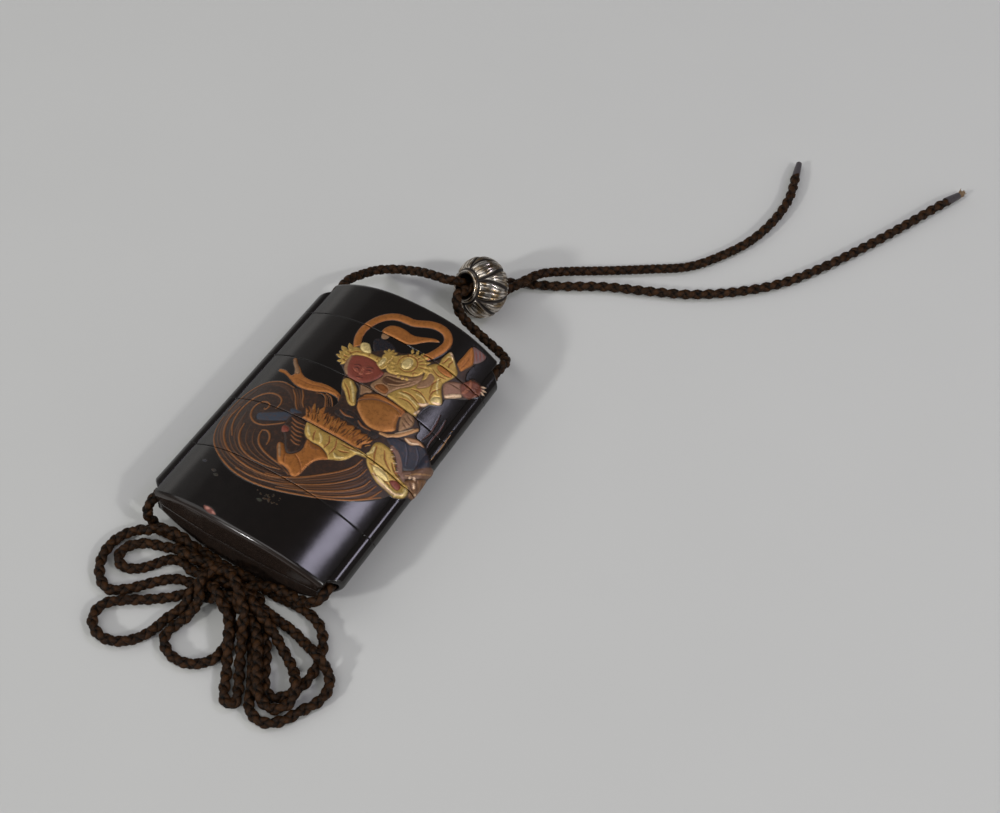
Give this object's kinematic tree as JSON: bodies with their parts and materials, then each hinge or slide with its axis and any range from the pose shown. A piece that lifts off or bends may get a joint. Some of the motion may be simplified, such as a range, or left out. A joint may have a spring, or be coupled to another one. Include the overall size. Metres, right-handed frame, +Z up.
{
  "type": "inro case",
  "caption": "Tiered lacquer case with a picture on its face, strung on a braided cord with a pierced metal bead and a bow.",
  "frame": {"origin": "under the middle of the case, on the surface that it lies on", "axes": "+X across the case, +Y along it towards the lid, +Z up through the decorated face"},
  "size_m": [0.1414, 0.2562, 0.0198],
  "materials": {
    "lacquer": "black-brown lacquer, polished, with gold and copper pictures",
    "silk_cord": "braided brown silk",
    "silver": "cast silver-tone metal with dark engraved rays",
    "binding": "waxed thread"
  },
  "bodies": {
    "root": {"lid": "lacquer", "case_1": "lacquer", "case_2": "lacquer", "case_3": "lacquer", "case_4": "lacquer", "bead": "silver", "cord_left_run": "silk_cord", "cord_right_run": "silk_cord", "cord_short_end": "silk_cord", "cord_long_end": "silk_cord", "cord_left_lead": "silk_cord", "cord_right_lead": "silk_cord", "cord_knot": "silk_cord", "cord_left_loops": "silk_cord", "cord_right_loops": "silk_cord", "tip_short": "binding", "tip_long": "binding"}
  },
  "joints": []
}
